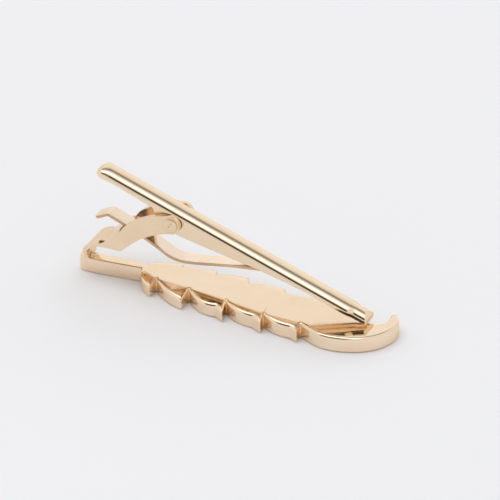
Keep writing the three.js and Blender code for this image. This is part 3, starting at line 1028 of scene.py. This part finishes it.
@dataclass
class HingeRivet:
    """Rivet turned about Y: shank and two low domes, each with an upright edge and a peened centre.

    Attributes:
        shank: Radius of the shank.
        head: Radius of a head.
        seat: Distance of a head's seat from the middle plane.
        dome: Height of a head.
        edge: Height of a head's upright edge.
        dimple: Depth of the peened centre.
        peen: Where the peened centre lies on a head, along X and Z, and its radius.
        uneven: Share by which the dimple's depth swings round the turn.
        chamfer: Size of the chamfer under a head.
        rows: Number of points from a head's edge to its centre.
        sides: Number of points round the turn.
    """

    shank: float = 0.75
    head: float = 1.28
    seat: float = 2.96
    dome: float = 0.42
    edge: float = 0.14
    dimple: float = 0.32
    peen: tuple[float, float, float] = (-0.05, 0.22, 0.38)
    uneven: float = 0.4
    chamfer: float = 0.04
    rows: int = 36
    sides: int = 64

    def build(self) -> bpy.types.Object:
        """Turns the half profile about the pivot's axis.

        A head's profile is a quarter ellipse above its upright edge. The peened centre is a
        bell-shaped dimple whose depth swings twice round the turn.

        Returns:
            The finished rivet.
        """
        angle = np.linspace(0, math.pi / 2, self.rows)
        radius = self.head * np.cos(angle)
        height = self.seat + self.edge + (self.dome - self.edge) * np.sin(angle)
        half = np.vstack([
            [self.shank, self.seat],
            [self.head - self.chamfer, self.seat],
            [self.head, self.seat + self.chamfer],
            np.stack([radius, height], axis=1),
        ])
        half[-1, 0] = 0.0
        profile = np.vstack([half[::-1] * [1, -1], half])
        turn = np.linspace(0, 2 * math.pi, self.sides, endpoint=False)
        reach = profile[:, None, 0]
        along, up, spread = self.peen
        face_x, face_z = reach * np.cos(turn), reach * np.sin(turn)
        bell = np.exp(-((face_x - along) ** 2 + (face_z - up) ** 2) / spread**2)
        swing = 1 + self.uneven * np.sin(2 * turn[None, :] + 0.6) * np.clip(reach / 0.3, 0, 1)
        outside = np.sign(profile[:, None, 1])
        ring = np.stack([
            PIVOT_X + face_x,
            profile[:, None, 1] - outside * self.dimple * bell * swing,
            PIVOT_Z + face_z,
        ], axis=-1)
        piece = make_piece("rivet", ring, grid_quads(len(profile), self.sides, ring=True))
        dress(piece, BRACKET_GOLD)
        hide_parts("hinge_rivet")
        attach(piece, BASE)
        report(piece, "hinge rivet")
        return piece


@dataclass
class BrazeBead:
    """Uneven bead of braze in the corner between the neck and the quill.

    Attributes:
        wall: X of the neck's inner face, from the quill's end.
        reach: How far the bead runs out along the quill.
        climb: How far it climbs up the neck.
        half: Half its length across the quill.
        aside: Y of the bead's middle.
        sunk: How far its root reaches into neck and quill.
        hollow: Power that makes its section concave.
        rows: Number of points along the corner.
        cols: Number of points across the bead.
        floor: Height of the plate's back, taken from the frame.
    """

    wall: float = 2.12
    reach: float = 1.0
    climb: float = 0.42
    half: float = 0.8
    aside: float = -0.05
    sunk: float = 0.1
    hollow: float = 2.1
    rows: int = 40
    cols: int = 22
    floor: float = field(init=False)

    def __post_init__(self) -> None:
        """Takes the plate's back from the frame."""
        self.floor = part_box("feather_plate")[1].z / MM

    def build(self) -> bpy.types.Object:
        """Bends a lumpy lens into the corner.

        Its section is an astroid quarter between wall and floor, its size shrinks to nothing at
        both ends as a half ellipse, and three sine waves of odd lengths make it lumpy.

        Returns:
            The finished bead.
        """
        across = np.linspace(-1, 1, self.rows)[:, None]
        angle = np.linspace(0, math.pi / 2, self.cols)[None, :]
        size = np.sqrt(np.maximum(1 - across**2, 0))
        lump = 1 + 0.16 * np.sin(7.3 * across + 3.1 * angle) + 0.12 * np.sin(13.7 * across - 5 * angle)
        lump = lump + 0.08 * np.sin(23 * across + 9 * angle)
        swell = size * lump
        skin = np.stack([
            self.wall + self.reach * swell * np.cos(angle) ** self.hollow,
            self.half * across + 0 * angle + self.aside,
            self.floor + self.climb * swell * np.sin(angle) ** self.hollow,
        ], axis=-1)
        root = skin[:, :1].copy()
        root[..., 0] = self.wall - self.sunk
        root[..., 2] = self.floor - self.sunk
        ring = np.concatenate([skin, root], axis=1)
        ring[..., 0] += QUILL_X
        piece = make_piece("braze", ring, grid_quads(self.rows, self.cols + 1, ring=True))
        dress(piece, BRAZE_GOLD)
        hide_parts("braze_fillet")
        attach(piece, BASE)
        report(piece, "braze bead")
        return piece


# ---- the arm and its spring ----------------------------------------------------------


@dataclass
class ClipArm:
    """Pressed channel arm: crowned top, flanks with pivot wings, round thumb end and toothed lip.

    Lengths along the arm and heights above the pivot are in the arm's own axes.

    Attributes:
        tilt: Fall of the arm towards the tip, in degrees.
        half: Half-width.
        top: Height of the crown's top.
        shoulder: Height over which the crown turns down into the flank.
        power: Exponent of the crown's superellipse.
        thumb: Place of the thumb end.
        tip: Place of the tip.
        thumb_corner: Radius of the thumb end's corners in plan.
        tip_corner: Radius of the tip's corners in plan.
        drop: How far the thumb end curls down, and over what length.
        joggle: Where the flanks step in, over what length, and by how much.
        flank: Lower edge of the flanks from thumb to tip.
        lip: Height of the lip's lower edge.
        teeth: Number of teeth on the lip.
        tooth: Depth of the teeth.
        sheet: Thickness of the sheet.
        edge: Radius of the lower edge's corners.
        spine_gap: How far the crown's spine stops short of the thumb end and of the tip.
        thin: Share of the shoulder's height that is lost where the thumb end curls down.
        curl: Power of the curl's oval.
        lip_turn: Where before the tip the flank's edge starts and ends turning into the lip's.
    """

    tilt: float = 18.3
    half: float = 2.0
    top: float = 2.36
    shoulder: float = 1.3
    power: float = 2.25
    thumb: float = -15.8
    tip: float = 37.1
    thumb_corner: float = 1.6
    tip_corner: float = 0.35
    drop: tuple[float, float] = (1.25, 2.6)
    joggle: tuple[float, float, float] = (33.2, 1.3, 0.3)
    flank: tuple[tuple[float, float], ...] = (
        (-15.8, 0.62), (-14.4, 0.66), (-13.2, 0.78), (-11.9, 0.88), (-4.1, 0.68), (-3.3, -0.58),
        (-0.9, -1.82), (2.5, -1.68), (16.35, 0.26), (22.1, 0.83), (33.4, 1.56), (37.1, 1.56),
    )
    lip: float = 0.53
    teeth: int = 3
    tooth: float = 0.3
    sheet: float = 0.5
    edge: float = 0.14
    spine_gap: tuple[float, float] = (1.9, 1.5)
    thin: float = 0.65
    curl: float = 2.3
    lip_turn: tuple[float, float] = (0.3, 0.08)

    def plan(self, inset: float) -> np.ndarray:
        """Closed outline in plan, from the middle of the tip along the near side and back.

        Args:
            inset: How far inside the outer face it lies.

        Returns:
            The outline's points. Every inset gives the same number of points.
        """
        start, length, step = self.joggle
        half = self.half - inset
        narrow = half - step
        tip, thumb = self.tip - inset, self.thumb + inset
        r, q = max(self.thumb_corner - inset, 0.05), max(self.tip_corner - inset, 0.02)
        angle = np.linspace(0, math.pi / 2, 12)
        tip_turn = np.stack([tip - q + q * np.cos(angle), -narrow + q - q * np.sin(angle)], 1)
        thumb_turn = np.stack([thumb + r - r * np.sin(angle), -half + r - r * np.cos(angle)], 1)
        straight = np.linspace(tip - q, thumb + r, 200)[1:-1]
        side = np.stack([straight, -half + step * ease(straight, start, start + length)], axis=1)
        lip = np.stack([np.full(24, tip), np.linspace(0, -narrow + q, 25)[:-1]], axis=1)
        end = np.stack([np.full(3, thumb), np.linspace(-half + r, 0, 4)[1:]], axis=1)
        near = np.vstack([lip, tip_turn, side, thumb_turn, end])
        return np.vstack([near, near[-2:0:-1] * [1, -1]])

    def lower_edge(self, plan: np.ndarray) -> np.ndarray:
        """Height of the lower edge at each point of the plan, with the lip's teeth at the tip.

        The flank's edge is a polyline smoothed over half a millimetre. The teeth are a triangle
        wave across the lip, and the edge eases from flank to lip round the tip's corners.

        Args:
            plan: The outer skin's outline.

        Returns:
            The height above the pivot at each point.
        """
        knots = np.array(self.flank)
        fine = np.arange(self.thumb, self.tip + 0.01, 0.1)
        height = np.interp(fine, knots[:, 0], knots[:, 1])
        kernel = np.hanning(11) / np.hanning(11).sum()
        height = np.convolve(np.pad(height, 5, mode="edge"), kernel, "valid")
        flank = np.interp(plan[:, 0], fine, height)
        width = 2 * (self.half - self.joggle[2]) / self.teeth
        saw = np.abs((np.abs(plan[:, 1]) / width + 0.5) % 1 - 0.5) * 2
        lip = self.lip + self.tooth * (1 - saw)
        start, end = self.lip_turn
        return flank + (lip - flank) * ease(plan[:, 0], self.tip - start, self.tip - end)

    def crown(self, plan: np.ndarray, inset: float) -> np.ndarray:
        """Crown of one skin: lines of points from the spine of the arm out to its plan.

        Each line is a quarter superellipse as wide as the skin is there and as high as the
        shoulder. Towards the thumb end a quarter of an oval pulls it down.

        Args:
            plan: The skin's outline.
            inset: How far inside the outer face the skin lies.

        Returns:
            Points (u, y, w), one row per point of the plan.
        """
        before, after = self.spine_gap
        spine_u = np.clip(plan[:, 0], self.thumb + before, self.tip - after)
        spine = np.stack([spine_u, np.zeros(len(plan))], axis=1)
        angle = np.linspace(0, math.pi / 2, 26)[None, :]
        out = np.sin(angle) ** (2 / self.power)
        down = 1 - np.cos(angle) ** (2 / self.power)
        flat = spine[:, None, :] + (plan - spine)[:, None, :] * out[..., None]
        fall, span = self.drop
        curl = np.clip((self.thumb + span - flat[..., 0]) / span, 0, 1)
        shoulder = max(self.shoulder - inset, 0.25) * (1 - self.thin * curl[:, -1:])
        round_over = 1 - np.sqrt(1 - (0.985 * curl) ** self.curl)
        height = self.top - inset - fall * round_over - shoulder * down
        return np.concatenate([flat, height[..., None]], axis=2)

    def build(self) -> bpy.types.Object:
        """Builds the pressed shell: outer skin, lower edge with round corners, inner skin.

        Both skins have the same points, so the lower edge joins each outer point to its inner one.

        Returns:
            The finished arm.
        """
        outer_plan, inner_plan = self.plan(0.0), self.plan(self.sheet)
        outer, inner = self.crown(outer_plan, 0.0), self.crown(inner_plan, self.sheet)
        lower = self.lower_edge(outer_plan)
        r = self.edge
        turn = np.linspace(0, math.pi / 2, 5)[None, :]
        shift = np.hstack([r - r * np.cos(turn), self.sheet - r + r * np.sin(turn)]) / self.sheet
        lift = np.hstack([r - r * np.sin(turn), r - r * np.cos(turn)])
        inward = (inner_plan - outer_plan)[:, None, :]
        edge_flat = outer_plan[:, None, :] + inward * shift[..., None]
        edge = np.concatenate([edge_flat, (lower[:, None] + lift)[..., None]], axis=2)

        def flank(skin: np.ndarray, end: np.ndarray) -> np.ndarray:
            """Straight lines from the crown's outer points down to the lower edge's first points."""
            share = np.linspace(0, 1, 13)[None, 1:-1, None]
            return skin[:, -1:] + (end[:, None] - skin[:, -1:]) * share

        loop = np.concatenate([
            outer, flank(outer, edge[:, 0]), edge,
            flank(inner, edge[:, -1])[:, ::-1], inner[:, ::-1],
        ], axis=1)
        u, y, w = loop[..., 0], loop[..., 1], loop[..., 2]
        lean = math.radians(self.tilt)
        grid = np.stack([
            PIVOT_X + u * math.cos(lean) + w * math.sin(lean),
            y,
            PIVOT_Z - u * math.sin(lean) + w * math.cos(lean),
        ], axis=-1)
        rings = grid.transpose(1, 0, 2)
        piece = make_piece("arm", rings, grid_quads(*rings.shape[:2], ring=True))
        dress(piece, ARM_GOLD)
        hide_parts("clip_arm")
        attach(piece, ARM)
        report(piece, "pressed arm")
        return piece


@dataclass
class LeafSpring:
    """Flat spring strip: curled tail, bow under the rivet, blade held inside the arm's channel.

    Attributes:
        line: Upper face in side view, X from the quill's end.
        sheet: Thickness.
        half: Half-width.
        corner: Radius of the corners at both ends.
        free: X and height up to which the strip stays with the bracket; not used.
        held: X and height from which it is fast to the arm; not used.
        soft: Radius of its edges.
    """

    line: tuple[tuple[float, float], ...] = (
        (3.15, 11.12), (4.2, 11.66), (5.1, 12.12), (5.4, 12.27), (5.65, 12.34), (5.9, 12.31),
        (6.2, 12.2), (7.2, 11.83), (8.9, 11.2), (13.05, 9.4), (15.5, 8.17), (17.4, 7.2), (19.2, 6.9),
        (21.1, 7.06), (24.8, 7.7), (29.4, 8.5), (33.6, 9.05), (36.2, 9.36), (40.6, 7.95),
    )
    sheet: float = 0.5
    half: float = 1.45
    corner: float = 0.7
    free: tuple[float, float] = (8.6, 11.0)
    held: tuple[float, float] = (34.5, 9.0)
    soft: float = 0.07

    def build(self) -> bpy.types.Object:
        """Carries a straight line across the strip along its upper and its lower face.

        The lower face is the upper one moved by the strip's thickness along its normals, and the
        sheared sides between them have a rougher finish of their own, painted darker as a painted
        reflection of the gold parts beside them.

        Returns:
            The finished spring.
        """
        upper = smooth_path(np.array(self.line), 220)
        half = round_end(length_along(upper), self.half, self.corner)
        y = half[:, None] * np.linspace(-1, 1, 13)[None, :]

        def face(line: np.ndarray) -> np.ndarray:
            """Grid of one face of the strip."""
            flat = np.broadcast_to(line[:, None, :], (*y.shape, 2))
            return np.stack([flat[..., 0] + QUILL_X, y, flat[..., 1]], axis=-1)

        lower = upper - side_of(upper) * self.sheet
        keep = np.ones((y.shape[0] - 1, y.shape[1] - 1), bool)
        points, quads = shell(face(upper), face(lower), keep)
        piece = make_piece("spring", points, quads)
        dress(piece, SPRING_GOLD)
        # Second slot: the darker gold painted on the strip's sides as a painted reflection of the gold
        # parts beside them.
        piece.data.materials.append(SPRING_SIDE_PAINTED_REFLECTION.material())
        normals = np.empty(len(piece.data.polygons) * 3)
        piece.data.polygons.foreach_get("normal", normals)
        # Faces turned along Y, the strip's cut sides, take the painted-reflection material.
        cut = (np.abs(normals.reshape(-1, 3)[:, 1]) > 0.5).astype(np.int32)
        piece.data.polygons.foreach_set("material_index", cut)
        soften(piece, self.soft)
        apply_all(piece)
        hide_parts("leaf_spring")
        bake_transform(piece)
        report(piece, "leaf spring")
        return piece


# ---- studio --------------------------------------------------------------------------


@dataclass(frozen=True)
class Softbox:
    """Rectangular softbox that faces the object and leaves no mirror image in it.

    Attributes:
        name: Name of the light.
        place: Its place in millimetres.
        size: Its width and height in millimetres.
        power: Its power in watts.
    """

    name: str
    place: tuple[float, float, float]
    size: tuple[float, float]
    power: float

    def hang(self) -> None:
        """Hangs the softbox in the scene, turned towards the origin."""
        light = bpy.data.lights.new(self.name, "AREA")
        light.shape = "RECTANGLE"
        light.size, light.size_y = self.size[0] * MM, self.size[1] * MM
        light.energy = self.power
        lamp = bpy.data.objects.new(self.name, light)
        lamp.visible_glossy = False
        lamp.location = Vector(self.place) * MM
        lamp.rotation_euler = (-Vector(self.place)).to_track_quat("-Z", "Y").to_euler()
        bpy.context.scene.collection.objects.link(lamp)


@dataclass
class Studio:
    """Plain pale floor, soft lights and the camera.

    Attributes:
        azimuth: Camera's direction from the front towards +X, in degrees.
        elevation: Camera's height above the floor, in degrees.
        view_width: Width of what the camera sees at the object, in millimetres.
        lens: Focal length in millimetres.
        target: Point at the middle of the view, in millimetres.
        glow: Brightness of the surround's brightest panel.
        side_glow: Share of the glow towards both ends of the clip.
        window: Middle of the panels along X, and how far from it they start and end fading.
        panels: Angle from overhead towards the far side, in degrees, and share of the glow there.
        softboxes: The lights over the near and the far side.
        floor_half: Half-width of the floor in millimetres.
        floor_gap: How far below the feather the floor lies, in millimetres.
    """

    azimuth: float = 26.2
    elevation: float = 30.5
    view_width: float = 83.3
    lens: float = 1100.0
    target: tuple[float, float, float] = (2.51, 0.0, 11.25)
    glow: float = 1.95
    side_glow: float = 0.44
    window: tuple[float, float, float] = (-0.2, 0.32, 0.46)
    panels: tuple[tuple[float, float], ...] = (
        (-180, 0.40), (-95, 0.38), (-64, 0.40), (-58, 0.02), (-36, 0.02), (-31, 0.35), (-16, 0.55),
        (-11, 1.0), (7, 1.0), (11, 0.42), (20, 0.40), (27, 0.24), (30, 0.10), (35, 0.10), (41, 0.3),
        (50, 0.47), (60, 0.50), (92, 0.54), (180, 0.42),
    )
    softboxes: tuple[Softbox, ...] = (
        Softbox("key_softbox", (-120.0, -220.0, 420.0), (260.0, 200.0), 0.22),
        Softbox("far_softbox", (60.0, 420.0, 300.0), (420.0, 260.0), 0.16),
    )
    floor_half: float = 900.0
    floor_gap: float = 0.03

    def camera(self) -> None:
        """Places the camera and makes it the scene's."""
        lens = bpy.data.cameras.new("camera")
        lens.lens = self.lens
        lens.sensor_width = SENSOR
        lens.clip_start = 0.05
        lens.clip_end = 30.0
        distance = self.view_width * self.lens / SENSOR
        a, e = math.radians(self.azimuth), math.radians(self.elevation)
        way = Vector((math.sin(a) * math.cos(e), -math.cos(a) * math.cos(e), math.sin(e)))
        camera = bpy.data.objects.new("camera", lens)
        camera.location = (Vector(self.target) + way * distance) * MM
        camera.rotation_euler = way.to_track_quat("Z", "Y").to_euler()
        bpy.context.scene.collection.objects.link(camera)
        bpy.context.scene.camera = camera

    def floor(self) -> None:
        """Lays the floor just under the feather's front face."""
        turn = np.array([[-1, -1], [1, -1], [1, 1], [-1, 1]])
        corners = np.column_stack([turn * self.floor_half, np.full(4, -self.floor_gap)])
        floor = make_piece("floor", corners, np.array([[0, 1, 2, 3]]))
        floor.data.materials.append(PaleFloor().material())

    def panel_levels(self, tree: bpy.types.NodeTree, way: bpy.types.Node) -> bpy.types.Node:
        """Ramp over the angle from overhead about the X axis, with one stop per panel.

        Args:
            tree: The surround's nodes.
            way: Node with the direction's X, Y and Z.

        Returns:
            The ramp's node.
        """
        angle = tree.nodes.new("ShaderNodeMath")
        angle.operation = "ARCTAN2"
        tree.links.new(way.outputs["Y"], angle.inputs[0])
        tree.links.new(way.outputs["Z"], angle.inputs[1])
        span = tree.nodes.new("ShaderNodeMapRange")
        span.inputs["From Min"].default_value = -math.pi
        span.inputs["From Max"].default_value = math.pi
        tree.links.new(angle.outputs["Value"], span.inputs["Value"])
        ramp = tree.nodes.new("ShaderNodeValToRGB")
        tree.links.new(span.outputs["Result"], ramp.inputs["Fac"])
        stops = ramp.color_ramp.elements
        for stop, (_, level) in zip(stops, (self.panels[0], self.panels[-1])):
            stop.color = (level, level, level, 1.0)
        for degrees, level in self.panels[1:-1]:
            stops.new((degrees + 180) / 360).color = (level, level, level, 1.0)
        return ramp

    def window_edge(self, tree: bpy.types.NodeTree, way: bpy.types.Node) -> bpy.types.Node:
        """Smooth step that is 0 inside the panels' window along X and 1 beyond it.

        Args:
            tree: The surround's nodes.
            way: Node with the direction's X, Y and Z.

        Returns:
            The step's node.
        """
        middle, inner, outer = self.window
        apart = tree.nodes.new("ShaderNodeMath")
        apart.operation = "SUBTRACT"
        apart.inputs[1].default_value = middle
        tree.links.new(way.outputs["X"], apart.inputs[0])
        reach = tree.nodes.new("ShaderNodeMath")
        reach.operation = "ABSOLUTE"
        tree.links.new(apart.outputs["Value"], reach.inputs[0])
        ends = tree.nodes.new("ShaderNodeMapRange")
        ends.interpolation_type = "SMOOTHSTEP"
        ends.inputs["From Min"].default_value = inner
        ends.inputs["From Max"].default_value = outer
        tree.links.new(reach.outputs["Value"], ends.inputs["Value"])
        return ends

    def sky(self) -> None:
        """Soft surround: panels inside the window, and an even glow towards the clip's ends.

        Bright panels stand beyond the clip and overhead, with a dark gap between them, and the
        near side is dark above the floor, as in a light tent that opens towards the viewer.
        """
        world = bpy.data.worlds.new("surround")
        bpy.context.scene.world = world
        world.use_nodes = True
        tree = world.node_tree
        place = tree.nodes.new("ShaderNodeTexCoord")
        way = tree.nodes.new("ShaderNodeSeparateXYZ")
        tree.links.new(place.outputs["Generated"], way.inputs["Vector"])
        tent = tree.nodes.new("ShaderNodeMix")
        tent.data_type = "RGBA"
        tree.links.new(self.window_edge(tree, way).outputs["Result"], tent.inputs["Factor"])
        tree.links.new(self.panel_levels(tree, way).outputs["Color"], tent.inputs["A"])
        tent.inputs["B"].default_value = (self.side_glow, self.side_glow, self.side_glow, 1.0)
        background = tree.nodes["Background"]
        tree.links.new(tent.outputs["Result"], background.inputs["Color"])
        background.inputs["Strength"].default_value = self.glow

    def build(self) -> None:
        """Sets up the whole studio."""
        self.camera()
        self.floor()
        self.sky()
        bpy.context.scene.view_settings.view_transform = "Standard"
        for box in self.softboxes:
            box.hang()


# ---- the whole clip ------------------------------------------------------------------


def main() -> None:
    """Builds every sub-assembly in order, then the studio."""
    FeatherPlate().build()
    HingeBracket().build()
    HingeRivet().build()
    BrazeBead().build()
    ClipArm().build()
    LeafSpring().build()
    Studio().build()


if __name__ == "__main__":
    main()
